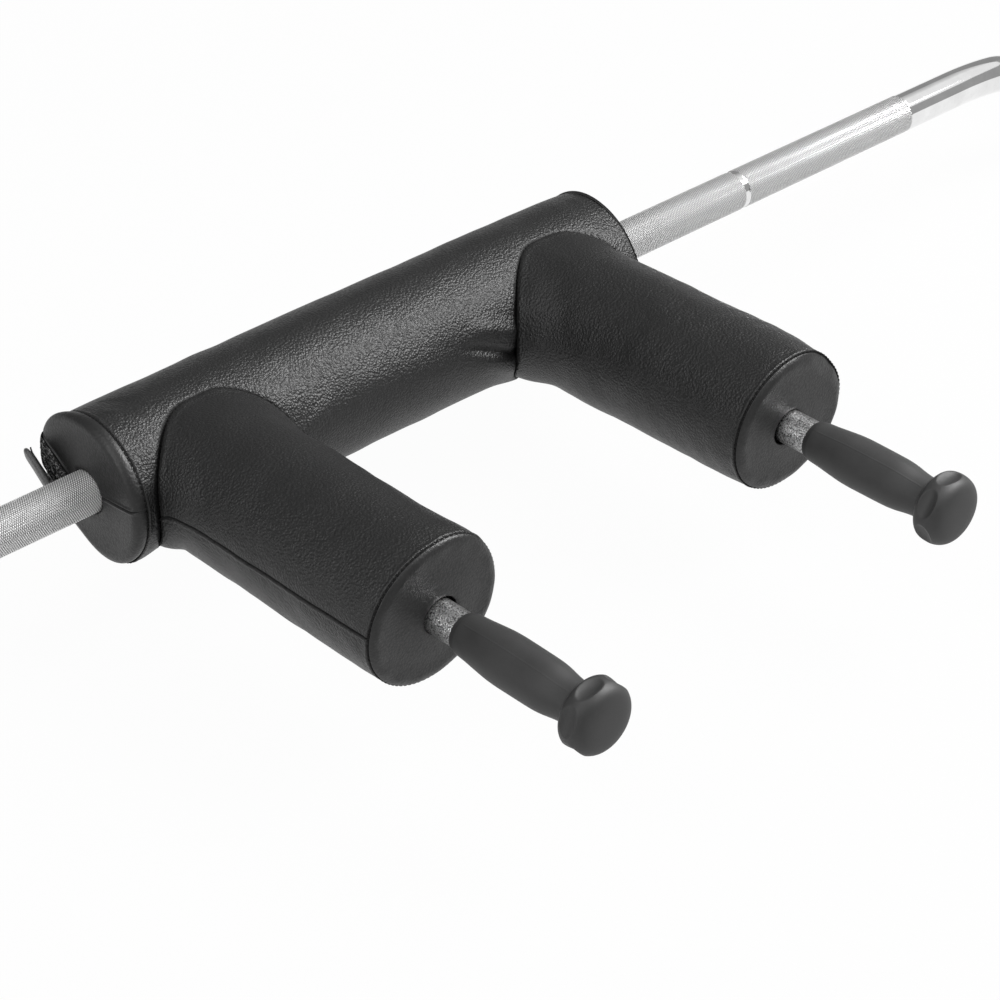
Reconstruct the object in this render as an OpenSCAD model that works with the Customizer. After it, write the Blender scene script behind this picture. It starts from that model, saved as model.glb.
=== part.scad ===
// Safety squat bar: a cambered shaft with two forward arms, a padded yoke and rotating plate sleeves.
// Origin: middle of the straight shaft, on its axis. +X runs along the shaft, the arms point along -Y,
// and +Z is up when the arms are level. The bar is the same on both sides of the plane X = 0.

/* [Shaft] */
// Diameter of the shaft
shaft_d = 32; // [28:0.5:35]
// Distance between the two ring marks
ring_spacing = 802; // [700:1:910]
// Width of a ring mark
ring_w = 4.5; // [2:0.5:8]
// Depth of a ring mark below the knurled band
ring_depth = 0.5; // [0.2:0.1:1]
// Distance from the middle to the outer end of each knurled band
knurl_end = 605; // [520:5:650]
// How far the shaft is turned down where it is knurled
knurl_relief = 0.2; // [0.1:0.05:0.4]

/* [Camber] */
// Distance from the middle to the start of the bend
bend_start = 672; // [655:1:760]
// Radius of the gentle lead-in to the bend
lead_r = 450; // [300:10:520]
// Angle that the lead-in turns
lead_a = 6.7; // [4:0.1:8]
// Radius of the two tight bends
bend_r = 80; // [65:1:90]
// Steepest angle of the camber
camber_a = 50; // [42:1:54]
// How far the sleeves lie below the shaft
camber_drop = 75; // [72:1:120]
// Straight run between the last bend and the spindle's shoulder
end_run = 16; // [14:1:60]

/* [Sleeves] */
// Outer diameter of a plate sleeve
sleeve_d = 50; // [48:0.5:50.5]
// Length of a sleeve tube
sleeve_len = 262; // [180:1:420]
// Diameter of the spindle that the sleeve turns on
spindle_d = 28; // [24:0.5:29]
// Outer diameter of the bushes, which is the sleeve's bore
bush_d = 38; // [36.5:0.5:42]
// Length of each bush
bush_len = 40; // [20:1:60]
// Diameter of the collar's flange
collar_d = 80; // [66:1:110]
// Width of the collar's flange
collar_w = 16; // [8:1:30]
// Diameter of the collar's hub
hub_d = 62; // [56:1:64]
// Length of the collar's hub
hub_len = 8; // [4:1:12]
// Thickness of the two washers
washer_t = 3; // [1.5:0.5:5]
// Thickness of the retaining ring
ring_t = 1.75; // [1.2:0.05:2.5]
// Depth of the retaining ring's groove
groove_depth = 1; // [0.6:0.1:1.6]
// Thickness of the end cap's plate
cap_t = 3; // [2:0.5:6]
// Length of the end cap's spigot
cap_spigot = 10; // [5:1:16]

/* [Arms] */
// Distance between the arms' axes
arm_spacing = 334; // [300:1:380]
// Outer diameter of an arm's tube
arm_d = 25.4; // [22:0.1:28]
// Wall of an arm's tube
arm_wall = 3; // [2:0.5:5]
// Leg of the weld between an arm and the shaft
weld_leg = 4; // [2.5:0.5:6]

/* [Pads] */
// Radius of the main pad in its middle
pad_r = 56; // [50:0.5:62]
// Distance from the middle to the main pad's end seam
pad_seam = 236; // [232:1:262]
// How much narrower the main pad is at its end seams
pad_crown = 0.8; // [0.2:0.1:2]
// How far the main pad's end panels stand out past the seam
pad_dome = 10; // [7:0.5:14]
// How far in from the rim an end panel's rounded shoulder reaches
pad_shoulder = 4; // [2:0.5:8]
// Radius of an arm pad where it is fullest
arm_pad_r = 55.7; // [50:0.1:60]
// How much an arm pad draws in where it meets the main pad
arm_draw = 2.5; // [1:0.5:6]
// Distance from the shaft to an arm pad's end seam
arm_seam = 269; // [230:1:320]
// How far an arm pad's end panel stands out past the seam
arm_dome = 5; // [3:0.5:8]
// Thickness of the covers
skin = 1.8; // [1:0.1:3]
// Width of the slits that let foams and covers go over the shaft
slit_w = 1; // [0.6:0.1:2]

/* [Closures] */
// Width of the hook-and-loop tapes
tape_w = 16; // [14:1:24]
// Thickness of the hook-and-loop tapes
tape_t = 1.2; // [0.8:0.1:2]
// Thickness of a closure flap
flap_t = 3; // [1.6:0.2:4]
// How far an end flap reaches past its tape
flap_margin = 5; // [2:0.5:8]
// Angle at which the end flaps stand open
flap_open = 24; // [20:1:80]
// Angle of the end panels' slits above the level
slit_a = 34; // [25:1:40]

/* [Grips] */
// Length of a grip, knob included
grip_len = 132.5; // [110:0.5:150]
// Length of tube left bare between the arm pad and the grip
bare_len = 26.5; // [14:0.5:60]
// Largest radius of a grip's barrel
grip_r = 18.5; // [17:0.5:22]
// Radius of the neck behind the knob
neck_r = 14.9; // [14.5:0.1:16]
// Radius of the knob at its ridges
knob_r = 26; // [21:0.5:28]
// Thickness of the knob
knob_t = 26; // [18:1:28]
// Depth of the scallops round the knob
scallop_depth = 3.5; // [2:0.5:5]

/* [Hidden] */
$fn = 96;

// Clearances: a turning fit, a seated or pressed fit, soft pieces on each other, and parts that swing
run_fit = 0.05;
seat_fit = 0.05;
soft_gap = 0.3;
play = 0.3;
eps = 1;

// Shaft and spindle, along X
shaft_r = shaft_d / 2;
link_len = 2;
slope_len = (camber_drop - lead_r * (1 - cos(lead_a)) - link_len * sin(lead_a)
  - bend_r * (cos(lead_a) - cos(camber_a)) - bend_r * (1 - cos(camber_a))) / sin(camber_a);
bend_end = bend_start + lead_r * sin(lead_a) + link_len * cos(lead_a)
  + bend_r * (sin(camber_a) - sin(lead_a)) + slope_len * cos(camber_a) + bend_r * sin(camber_a);
shoulder_x = bend_end + end_run;

// Places along the spindle, measured outward from its shoulder
spindle_tip = 7;
tip_room = 15;
sleeve_u = washer_t + play;
sleeve_end_u = sleeve_u + sleeve_len;
ring_u = sleeve_end_u - cap_spigot - spindle_tip - tip_room;
outer_washer_u = ring_u - washer_t - seat_fit;
outer_bush_u = outer_washer_u - play - bush_len;
spindle_len = ring_u + spindle_tip;
washer_d = bush_d - 1;
lip_len = 4;
lip_gap = 0.8;
collar_seat_r = sleeve_d / 2 - 1;

// How far a straight run laps into a bend, its taper there, and the hair by which the bends are thinner
lap = 1;
lap_taper = 0.3;
bend_step = 0.03;

// Pads
pad_end_x = pad_seam + pad_dome;
arm_x = arm_spacing / 2;
arm_r = arm_d / 2;
port_r = arm_pad_r - arm_draw - skin;
draw_start = pad_r - 1;
draw_len = 60;
hole_lip = 5;
arm_hole_lip = 3;
profile_steps = 16;

// Closures: the back one in degrees round the shaft, the end ones across their slit. A flap's sewn edge
// is a round fold on its hinge line, and its free edge swings about that line.
back_slit_a = -4;
back_tape_a0 = -1;
back_tape_a1 = back_tape_a0 + tape_w / pad_r * 180 / PI;
back_sewn_a = -16;
back_margin = 6;
back_len = 2 * (pad_seam - back_margin);
back_flap_r = pad_r + soft_gap + 2 * tape_t + play + seat_fit;
slit_t = -14;
tape_s0 = shaft_r + 2;
tape_s1 = pad_r - 6;
flap_s0 = tape_s0 - 2;
flap_s1 = pad_r + 1;
hinge_o = soft_gap + tape_t + play + tape_t;
edge_r = hinge_o - soft_gap;
sewn_w = edge_r + soft_gap;
hinge_t = slit_t - slit_w - tape_w - sewn_w;
flap_w = sewn_w + tape_w + flap_margin;
corner_r = 4;

// Grips, along -Y
grip_y = arm_seam + bare_len;
knob_y = grip_y + grip_len;
grip_wall_end = 14;
tube_end = knob_y - grip_wall_end;
scallops = 6;
scallop_r = 18;
left_knob_turn = 11;
right_knob_turn = 22;

// Ready-made directions and mirrored pairs
module along_x() { rotate([0, 90, 0]) rotate([0, 0, 180]) children(); }
module along_arm() { rotate([90, 0, 0]) children(); }
module left_side() { mirror([1, 0, 0]) children(); }
module both_sides() {
  children();
  left_side() children();
}
module at_arm() { translate([arm_x, 0, 0]) along_arm() children(); }
module at_spindle(u = 0) { translate([shoulder_x + u, 0, -camber_drop]) along_x() children(); }

module tube(d_out, d_in, len) {
  difference() {
    cylinder(d = d_out, h = len);
    translate([0, 0, -eps]) cylinder(d = d_in, h = len + 2 * eps);
  }
}

module rounded_plate(len, wid, thick, r) {
  linear_extrude(thick) {
    translate([r, 0]) square([len - 2 * r, wid]);
    translate([0, r]) square([len, wid - 2 * r]);
    for (x = [r, len - r], y = [r, wid - r]) translate([x, y]) circle(r, $fn = 32);
  }
}

// Shaft

// An arc of the shaft that starts at the origin along +X and turns down by angle a
module bend(r, a) {
  translate([0, 0, -r]) rotate([0, -90, 0]) rotate([-90, 0, 0])
    rotate_extrude(angle = a) translate([r, 0]) circle(shaft_r - bend_step);
}

// Carries its children to the end of such an arc
module after_bend(r, a) {
  translate([r * sin(a), 0, -r * (1 - cos(a))]) rotate([0, a, 0]) children();
}

// A straight run along +X whose tapered ends lap a little way into the bends
module run(len) {
  along_x() rotate_extrude() polygon([
    [0, -lap], [shaft_r - lap_taper, -lap], [shaft_r, 0], [shaft_r, len],
    [shaft_r - lap_taper, len + lap], [0, len + lap]
  ]);
}

// One end of the shaft, from the straight middle to the spindle's tip
module shaft_end() {
  translate([bend_start, 0, 0]) {
    bend(lead_r, lead_a);
    after_bend(lead_r, lead_a) {
      run(link_len);
      translate([link_len, 0, 0]) {
        bend(bend_r, camber_a - lead_a);
        after_bend(bend_r, camber_a - lead_a) {
          run(slope_len);
          translate([slope_len, 0, 0]) mirror([0, 0, 1]) bend(bend_r, camber_a);
        }
      }
    }
  }
  translate([bend_end, 0, -camber_drop]) run(end_run - lap);
  at_spindle(-eps) cylinder(d = spindle_d, h = spindle_len + eps);
}

// A band turned down by a depth, with walls at 45 degrees
module turned_band(x0, x1, depth) {
  along_x() rotate_extrude() polygon([
    [shaft_r - depth, x0 + depth], [shaft_r + eps, x0 - eps],
    [shaft_r + eps, x1 + eps], [shaft_r - depth, x1 - depth]
  ]);
}

module shaft() {
  color("silver") difference() {
    union() {
      translate([-bend_start, 0, 0]) run(2 * bend_start);
      both_sides() shaft_end();
    }
    both_sides() {
      turned_band(pad_end_x, knurl_end, knurl_relief);
      turned_band((ring_spacing - ring_w) / 2, (ring_spacing + ring_w) / 2, knurl_relief + ring_depth);
      at_spindle(ring_u - seat_fit)
        tube(spindle_d + 2 * eps, spindle_d - 2 * groove_depth, ring_t + 2 * seat_fit);
    }
  }
}

// Arms

module arm_tube() {
  color("lightgray") difference() {
    at_arm() translate([0, 0, shaft_r / 2]) tube(arm_d, arm_d - 2 * arm_wall, tube_end - shaft_r / 2);
    along_x() cylinder(r = shaft_r + seat_fit, h = 2 * arm_x);
  }
}

module arm_weld() {
  color("dimgray") difference() {
    intersection() {
      at_arm() cylinder(r = arm_r + weld_leg, h = shaft_r + 2 * weld_leg);
      along_x() cylinder(r = shaft_r + weld_leg, h = 2 * arm_x);
    }
    along_x() cylinder(r = shaft_r + seat_fit, h = 2 * arm_x);
    at_arm() cylinder(r = arm_r + seat_fit, h = 2 * shaft_r + 2 * weld_leg);
    translate([0, shaft_r, 0]) cube([4 * arm_x, 2 * shaft_r + weld_leg, 4 * shaft_r], center = true);
  }
}

// Pads

function ease(t) = t <= 0 ? 0 : t >= 1 ? 1 : t * t * (3 - 2 * t);

// Radius of the main pad at x, and of an arm pad at distance y from the shaft
function pad_radius(x) = pad_r - pad_crown * pow(x / pad_seam, 2);
function arm_pad_radius(y) = arm_pad_r - arm_draw * (1 - ease((y - draw_start) / draw_len));

function pad_line(inset, reach) = [
  for (i = [-profile_steps:profile_steps])
    let (x = reach * i / profile_steps) [pad_radius(x) - inset, x]
];
function arm_line(inset, reach) = [
  for (i = [0:profile_steps])
    let (y = reach * i / profile_steps) [arm_pad_radius(y) - inset, y]
];
function reversed(points) = [for (i = [len(points) - 1:-1:0]) points[i]];

module pad_solid(inset, reach) {
  along_x() rotate_extrude() polygon(concat([[0, -reach]], pad_line(inset, reach), [[0, reach]]));
}

module arm_pad_solid(inset, reach) {
  at_arm() rotate_extrude() polygon(concat([[0, 0]], arm_line(inset, reach), [[0, reach]]));
}

module back_slit(angle) {
  rotate([angle, 0, 0]) translate([-pad_end_x - eps, 0, -slit_w / 2])
    cube([2 * (pad_end_x + eps), pad_r + 4 * eps, slit_w]);
}

module main_foam() {
  color("dimgray") difference() {
    pad_solid(skin + soft_gap, pad_seam);
    translate([-pad_seam - eps, 0, 0]) along_x() cylinder(r = shaft_r + soft_gap, h = 2 * (pad_seam + eps));
    both_sides() at_arm() {
      cylinder(r = arm_r + soft_gap, h = pad_r + eps);
      cylinder(r = arm_r + weld_leg + soft_gap, h = shaft_r + weld_leg + soft_gap);
    }
    back_slit(back_slit_a);
  }
}

module arm_foam() {
  color("dimgray") difference() {
    arm_pad_solid(skin + soft_gap, arm_seam);
    pad_solid(skin, pad_seam + pad_dome);
    at_arm() translate([0, 0, -eps]) cylinder(r = arm_r + soft_gap, h = arm_seam + 2 * eps);
  }
}

module main_cover() {
  color([0.11, 0.11, 0.12]) difference() {
    along_x() rotate_extrude()
      polygon(concat(pad_line(0, pad_seam), reversed(pad_line(skin, pad_seam))));
    both_sides() at_arm() cylinder(r = port_r, h = pad_r + eps);
    back_slit(back_slit_a);
  }
}

module arm_cover() {
  color([0.12, 0.12, 0.13]) difference() {
    at_arm() rotate_extrude()
      polygon(concat(arm_line(0, arm_seam), reversed(arm_line(skin, arm_seam))));
    pad_solid(-seat_fit, pad_end_x);
  }
}

// Outline of an end panel from its rim to its hole: a rounded shoulder, a flat face and a turned-in lip
function panel_line(rim, dome, shoulder, hole, lip, inset) = concat(
  [for (i = [0:6]) let (a = 15 * i)
    [rim - shoulder * (1 - cos(a)) - inset * cos(a), (dome - inset) * sin(a)]],
  [for (i = [1:6]) let (a = 15 * i)
    [hole + lip * (1 - sin(a)), dome - inset - lip * (1 - cos(a))]]
);

module panel(rim, dome, shoulder, hole, lip) {
  outer = panel_line(rim, dome, shoulder, hole, lip, 0);
  inner = panel_line(rim, dome, shoulder, hole, lip, skin);
  rotate_extrude() polygon(concat(outer, reversed(inner)));
}

module end_panel() {
  color([0.13, 0.13, 0.14]) difference() {
    translate([pad_seam + seat_fit, 0, 0]) along_x()
      panel(pad_radius(pad_seam), pad_dome - seat_fit, pad_shoulder, shaft_r + soft_gap, hole_lip);
    end_frame() translate([0, slit_t - slit_w / 2, -2 * pad_dome])
      cube([2 * pad_r, slit_w, 4 * pad_dome]);
  }
}

module arm_end_panel() {
  color([0.13, 0.13, 0.14]) at_arm() translate([0, 0, arm_seam + seat_fit])
    panel(arm_pad_radius(arm_seam), arm_dome - seat_fit, arm_dome, arm_r + soft_gap, arm_hole_lip);
}

// Closures

// A strip bent round the shaft's axis, from angle a0 to a1, with angle 0 to the back
module back_band(r, thick, a0, a1, len) {
  rotate([90, 0, 90]) rotate([0, 0, a0])
    rotate_extrude(angle = a1 - a0, $fn = 180) translate([r, -len / 2]) square([thick, len]);
}

module back_loop_tape() {
  color([0.05, 0.05, 0.05]) back_band(pad_r + soft_gap, tape_t, back_tape_a0, back_tape_a1, back_len);
}

module back_hook_tape() {
  color([0.05, 0.05, 0.05])
    back_band(pad_r + soft_gap + tape_t + play, tape_t, back_tape_a0, back_tape_a1, back_len);
}

module back_flap() {
  color([0.14, 0.14, 0.15]) {
    back_band(back_flap_r, skin, back_sewn_a, back_tape_a1 + 1, back_len);
    rotate([back_sewn_a, 0, 0]) translate([-back_len / 2, back_flap_r, 0]) along_x()
      cylinder(r = back_flap_r - pad_r - soft_gap, h = back_len);
  }
}

// Right end face: local X along the slit, local Y across it, local Z out of the pad
module end_frame() {
  translate([pad_end_x, 0, 0]) rotate([slit_a, 0, 0]) rotate([90, 0, 90]) children();
}

module on_flap() {
  end_frame() translate([0, hinge_t, hinge_o]) rotate([flap_open, 0, 0]) children();
}

// The tape ends in an arc where the panel's shoulder begins
module end_loop_tape() {
  color([0.05, 0.05, 0.05]) end_frame() intersection() {
    translate([tape_s0, slit_t - slit_w - tape_w, soft_gap]) cube([tape_s1 - tape_s0, tape_w, tape_t]);
    cylinder(r = pad_radius(pad_seam) - pad_shoulder, h = soft_gap + tape_t + eps);
  }
}

module end_hook_tape() {
  color([0.05, 0.05, 0.05]) on_flap() translate([tape_s0, sewn_w, -tape_t])
    rounded_plate(tape_s1 - tape_s0, tape_w - 1, tape_t - seat_fit, 2);
}

module end_flap() {
  color([0.14, 0.14, 0.15]) on_flap() translate([flap_s0, 0, 0]) {
    rounded_plate(flap_s1 - flap_s0, flap_w, flap_t, corner_r);
    translate([corner_r, 0, 0]) along_x() cylinder(r = edge_r, h = tape_s1 - tape_s0 - corner_r);
  }
}

// Grips

// Radius of a grip's barrel at a share t of the way from its mouth to its neck
mouth_r = arm_r + 1.7;
grip_neck = grip_len - knob_t;
fullest = 0.44;
function barrel_radius(t) = t < fullest
  ? mouth_r + (grip_r - mouth_r) * sin(90 * ease(t / fullest))
  : neck_r + (grip_r - neck_r) * (1 - ease(pow((t - fullest) / (1 - fullest), 2)));

module grip(turn) {
  color([0.16, 0.16, 0.16]) at_arm() translate([0, 0, grip_y]) difference() {
    rotate_extrude() polygon(concat(
      [[0, 0]],
      [for (i = [0:24]) let (t = i / 24) [barrel_radius(t), grip_neck * t]],
      [for (i = [1:6]) let (a = 15 * i)
        [neck_r + (knob_r - neck_r) * sin(a), grip_neck + knob_t * 0.35 * (1 - cos(a))]],
      [for (i = [1:6]) let (a = 15 * i)
        [knob_r - 4 * (1 - cos(a)), grip_neck + knob_t * 0.35 + knob_t * 0.48 * sin(a)]],
      [for (i = [1:4]) let (t = i / 4)
        [(knob_r - 4) * (1 - 0.85 * t), grip_neck + knob_t * 0.83 + knob_t * 0.17 * (1 - pow(1 - t, 2))]],
      [[0, grip_len]]
    ));
    translate([0, 0, -eps]) cylinder(r = arm_r + seat_fit, h = grip_len - grip_wall_end + eps + seat_fit);
    for (k = [0:scallops - 1]) rotate([0, 0, turn + 360 / scallops * k])
      translate([knob_r - scallop_depth + scallop_r, 0, grip_neck + knob_t * 0.45]) sphere(scallop_r);
  }
}

// Sleeve assembly

// The collar sits on a turned-down seat, so the wall that carries plates starts at the collar's face
module sleeve() {
  bore_r = bush_d / 2 + seat_fit;
  shoulder = collar_w + seat_fit;
  color("gainsboro") at_spindle(sleeve_u) rotate_extrude() polygon([
    [bore_r, 0], [collar_seat_r, 0], [collar_seat_r, shoulder], [sleeve_d / 2, shoulder],
    [sleeve_d / 2, sleeve_len - 1], [sleeve_d / 2 - 1, sleeve_len], [bore_r, sleeve_len]
  ]);
}

module collar() {
  lip_u = -hub_len;
  flange_end = sleeve_u + collar_w;
  color("gainsboro") at_spindle() rotate_extrude() polygon([
    [shaft_r + lip_gap, lip_u], [hub_d / 2 - 2, lip_u], [hub_d / 2, lip_u + 2], [hub_d / 2, sleeve_u],
    [collar_d / 2 - 1.5, sleeve_u], [collar_d / 2, sleeve_u + 1.5],
    [collar_d / 2, flange_end - 1.5], [collar_d / 2 - 1.5, flange_end],
    [collar_seat_r + seat_fit, flange_end], [collar_seat_r + seat_fit, sleeve_u - seat_fit],
    [bush_d / 2, sleeve_u - seat_fit], [bush_d / 2, lip_u + lip_len], [shaft_r + lip_gap, lip_u + lip_len]
  ]);
}

module bush(u) {
  color("goldenrod") at_spindle(u) tube(bush_d, spindle_d + 2 * run_fit, bush_len);
}

module washer(u) {
  color("gray") at_spindle(u) tube(washer_d, spindle_d + 2 * seat_fit, washer_t);
}

module retaining_ring() {
  color("darkgray") at_spindle(ring_u) difference() {
    tube(washer_d - 1, spindle_d - 2 * groove_depth + 2 * seat_fit, ring_t);
    translate([0, -4, -eps]) cube([bush_d, 8, ring_t + 2 * eps]);
  }
}

module end_cap() {
  color([0.1, 0.1, 0.1]) at_spindle(sleeve_end_u) {
    rotate_extrude() polygon([
      [0, seat_fit], [sleeve_d / 2 - 1, seat_fit], [sleeve_d / 2 - 1, cap_t - 1], [sleeve_d / 2 - 2, cap_t],
      [0, cap_t]
    ]);
    translate([0, 0, -cap_spigot]) cylinder(d = bush_d, h = cap_spigot + seat_fit);
  }
}

shaft();
left_side() arm_tube();  // left_arm_tube
arm_tube();  // right_arm_tube
left_side() arm_weld();  // left_arm_weld
arm_weld();  // right_arm_weld
main_foam();
left_side() arm_foam();  // left_arm_foam
arm_foam();  // right_arm_foam
main_cover();
left_side() arm_cover();  // left_arm_cover
arm_cover();  // right_arm_cover
left_side() end_panel();  // left_end_panel
end_panel();  // right_end_panel
left_side() arm_end_panel();  // left_arm_end_panel
arm_end_panel();  // right_arm_end_panel
back_loop_tape();
back_flap();
back_hook_tape();
left_side() end_loop_tape();  // left_loop_tape
left_side() end_flap();  // left_flap
left_side() end_hook_tape();  // left_hook_tape
end_loop_tape();  // right_loop_tape
end_flap();  // right_flap
end_hook_tape();  // right_hook_tape
left_side() grip(left_knob_turn);  // left_grip
grip(right_knob_turn);  // right_grip
left_side() sleeve();  // left_sleeve
left_side() collar();  // left_collar
left_side() bush(sleeve_u);  // left_inner_bush
left_side() bush(outer_bush_u);  // left_outer_bush
left_side() washer(0);  // left_thrust_washer
left_side() washer(outer_washer_u);  // left_outer_washer
left_side() retaining_ring();  // left_retaining_ring
left_side() end_cap();  // left_end_cap
sleeve();  // right_sleeve
collar();  // right_collar
bush(sleeve_u);  // right_inner_bush
bush(outer_bush_u);  // right_outer_bush
washer(0);  // right_thrust_washer
washer(outer_washer_u);  // right_outer_washer
retaining_ring();  // right_retaining_ring
end_cap();  // right_end_cap
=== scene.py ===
# %% [markdown]
# # A safety squat bar, dressed on its CAD frame
# The CAD model gives every part its true size and place. This lesson loads it as a fixed frame and lays over
# it what CAD is poor at: leatherette, knurled steel, moulded rubber, and hook-and-loop closures. Shapes are
# worked out with numpy in millimetres and stored in metres.

# %% Load the frame
import math
import bpy
import numpy as np
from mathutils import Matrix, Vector


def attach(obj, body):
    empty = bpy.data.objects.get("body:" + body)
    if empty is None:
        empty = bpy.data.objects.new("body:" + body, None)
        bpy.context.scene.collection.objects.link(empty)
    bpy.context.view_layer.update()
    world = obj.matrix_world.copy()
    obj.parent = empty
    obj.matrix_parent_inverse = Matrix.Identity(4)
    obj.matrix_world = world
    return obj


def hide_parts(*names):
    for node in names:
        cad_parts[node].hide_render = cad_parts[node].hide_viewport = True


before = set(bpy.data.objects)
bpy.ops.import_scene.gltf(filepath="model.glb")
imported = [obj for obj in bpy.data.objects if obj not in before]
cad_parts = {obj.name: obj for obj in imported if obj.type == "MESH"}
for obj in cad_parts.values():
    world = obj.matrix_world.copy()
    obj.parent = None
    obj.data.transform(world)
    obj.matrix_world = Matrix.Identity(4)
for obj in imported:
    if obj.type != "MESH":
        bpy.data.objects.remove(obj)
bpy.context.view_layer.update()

# %% [markdown]
# ## The camera
# The camera comes first, so that every later choice can be judged from the photograph's side. Its place and
# long lens follow from edges and circles in the picture, with the 32 mm shaft as the gauge.

# %% Set up the camera
CAMERA_PLACE = (-1.16625, -1.3982, 1.0958)
CAMERA_AZIMUTH, CAMERA_ELEVATION = -43.06, 33.76
FOCAL_LENGTH = 104.14


def look_direction(azimuth, elevation):
    """The unit vector to the camera: azimuth turns it round Z from -Y, and elevation lifts it."""
    a, e = math.radians(azimuth), math.radians(elevation)
    return Vector((math.sin(a) * math.cos(e), -math.cos(a) * math.cos(e), math.sin(e)))


def stand(thing, place, look):
    """Puts a camera or lamp at a place, upright and turned to look in a direction."""
    thing.location = place
    thing.rotation_mode = "QUATERNION"
    thing.rotation_quaternion = look.to_track_quat("-Z", "Y")
    bpy.context.scene.collection.objects.link(thing)


lens = bpy.data.cameras.new("camera")
lens.sensor_width = 36
lens.lens = FOCAL_LENGTH
lens.clip_start = 0.05
lens.clip_end = 60
camera = bpy.data.objects.new("camera", lens)
stand(camera, CAMERA_PLACE, -look_direction(CAMERA_AZIMUTH, CAMERA_ELEVATION))
bpy.context.scene.camera = camera
print("camera at", [round(c, 3) for c in camera.location])

# %% [markdown]
# ## Shader maths as plain expressions
# Wrapping a node's output in a class that knows +, - and * lets a mask be written as a formula and not as a
# tangle of nodes.

# %% A socket that does arithmetic
class Wire:
    """One output of a node. Arithmetic on wires and numbers adds Math nodes."""

    def __init__(self, finish, socket):
        self.finish = finish
        self.socket = socket

    def math(self, operation, *others, clamp=False):
        return self.finish.node("ShaderNodeMath", {"operation": operation, "use_clamp": clamp}, self, *others)

    def __add__(self, other):
        return self.math("ADD", other)

    def __sub__(self, other):
        return self.math("SUBTRACT", other)

    def __rsub__(self, other):
        return self.finish.node("ShaderNodeMath", {"operation": "SUBTRACT"}, other, self)

    def __mul__(self, other):
        return self.math("MULTIPLY", other)

    __radd__ = __add__

    def clamped(self):
        return self.math("ADD", 0.0, clamp=True)


# %% A material under construction
class Finish:
    """The nodes of a material or world. One method adds any node and returns one of its outputs."""

    def __init__(self, name, kind=bpy.data.materials, place="Object"):
        self.owner = kind.new(name)
        self.owner.use_nodes = True
        self.tree = self.owner.node_tree
        self.tree.nodes.clear()
        self.place = self.node("ShaderNodeTexCoord", {}, output=place)

    def node(self, kind, settings, *values, output=0, **named):
        made = self.tree.nodes.new(kind)
        for key, value in settings.items():
            if key != "stops":
                setattr(made, key, value)
        for i, (position, shade) in enumerate(settings.get("stops", ())):
            elements = made.color_ramp.elements
            stop = elements[i] if i < 2 else elements.new(position)
            stop.position = position
            stop.color = (*shade, 1)
        for key, value in [*enumerate(values), *named.items()]:
            socket = made.inputs[key if isinstance(key, int) else key.replace("_", " ")]
            if isinstance(value, Wire):
                self.tree.links.new(value.socket, socket)
            elif value is not None:
                socket.default_value = value
        return Wire(self, made.outputs[output] if made.outputs else None)

    def noise(self, scale, detail, rough):
        return self.node("ShaderNodeTexNoise", {}, Vector=self.place, Scale=scale, Detail=detail,
                         Roughness=rough)

    def cells(self, scale, place=None):
        return self.node("ShaderNodeTexVoronoi", {}, Vector=place or self.place, Scale=scale)

    def mark(self, name):
        """A number stored on the mesh's points, such as how close a point lies to a seam."""
        return self.node("ShaderNodeAttribute", {"attribute_name": name}, output="Fac")

    def ray(self, word):
        """1 for rays of one kind, such as Camera, and 0 for all others."""
        return self.node("ShaderNodeLightPath", {}, output=f"Is {word} Ray")

    def ramp(self, value, *stops):
        return self.node("ShaderNodeValToRGB", {"stops": stops}, value)

    def mix(self, share, first, second):
        return self.node("ShaderNodeMix", {"data_type": "RGBA"}, share, *[None] * 5, first, second, output=2)

    def bump(self, height, strength, distance, under=None):
        return self.node("ShaderNodeBump", {}, Strength=strength, Distance=distance, Height=height,
                         Normal=under)

    def surface(self, **inputs):
        shader = self.node("ShaderNodeBsdfPrincipled", {}, **inputs)
        self.node("ShaderNodeOutputMaterial", {}, shader)
        return self.owner


def grey(level):
    """A neutral colour of one level."""
    return (level, level, level)

# %% [markdown]
# ## The leatherette
# The covers have a grain of rounded pebbles about two millimetres across. It is only seen where light glances
# off it, so it lives in the bump and the roughness and hardly at all in the colour. The mark "seam" paints
# shade into the crack between two sewn panels: near black where light hardly reaches, and rougher.

# %% Leatherette
PEBBLES_PER_M = 560


def leatherette(name, tone=0.010, pebble=1.0):
    f = Finish(name)
    seam = f.mark("seam")
    push = f.node("ShaderNodeTexNoise", {}, Vector=f.place, Scale=300.0, Detail=2.0, output="Color")
    warped = f.node("ShaderNodeVectorMath", {"operation": "MULTIPLY_ADD"}, push, (0.0014,) * 3, f.place)
    pebbles = f.cells(PEBBLES_PER_M, warped)
    fine = f.noise(1700, 2, 0.6)
    patch = f.noise(20, 3, 0.6)
    shade = f.ramp(pebbles * 0.6 + patch * 0.5, (0.15, grey(tone * 1.3)), (0.95, grey(tone * 0.6)))
    # Painted shade: where the mark "seam" is high the colour goes near black, as the shade in the seams'
    # cracks.
    colour = f.mix(seam.clamped(), shade, (*grey(0.0015), 1))
    rough = 0.39 + pebbles * 0.14 + (patch - 0.5) * 0.12 + seam * 0.4
    swell = f.bump(patch, 0.15, 0.0012)
    grain = f.bump(pebbles * -0.8 + fine * 0.16, pebble, 0.00065, swell)
    return f.surface(Base_Color=colour, Roughness=rough.clamped(), Normal=grain, Specular_IOR_Level=0.40)


leather = leatherette("leatherette")
leather_end = leatherette("leatherette_end", 0.013, 0.35)
# Painted sheen: the end flaps' leatherette is ten times lighter, for the light their outer faces catch from the
# left.
flap_painted_sheen = leatherette("flap_leatherette_painted_sheen", 0.10, 0.3)
print("leatherette made")

# %% [markdown]
# ## Thread, tape and rubber
# Sewing thread is matt black and twisted. Hook-and-loop tape is a tangle of fine nylon that swallows light.
# The grips' rubber is smooth with a faint, uneven haze left by the mould.

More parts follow.
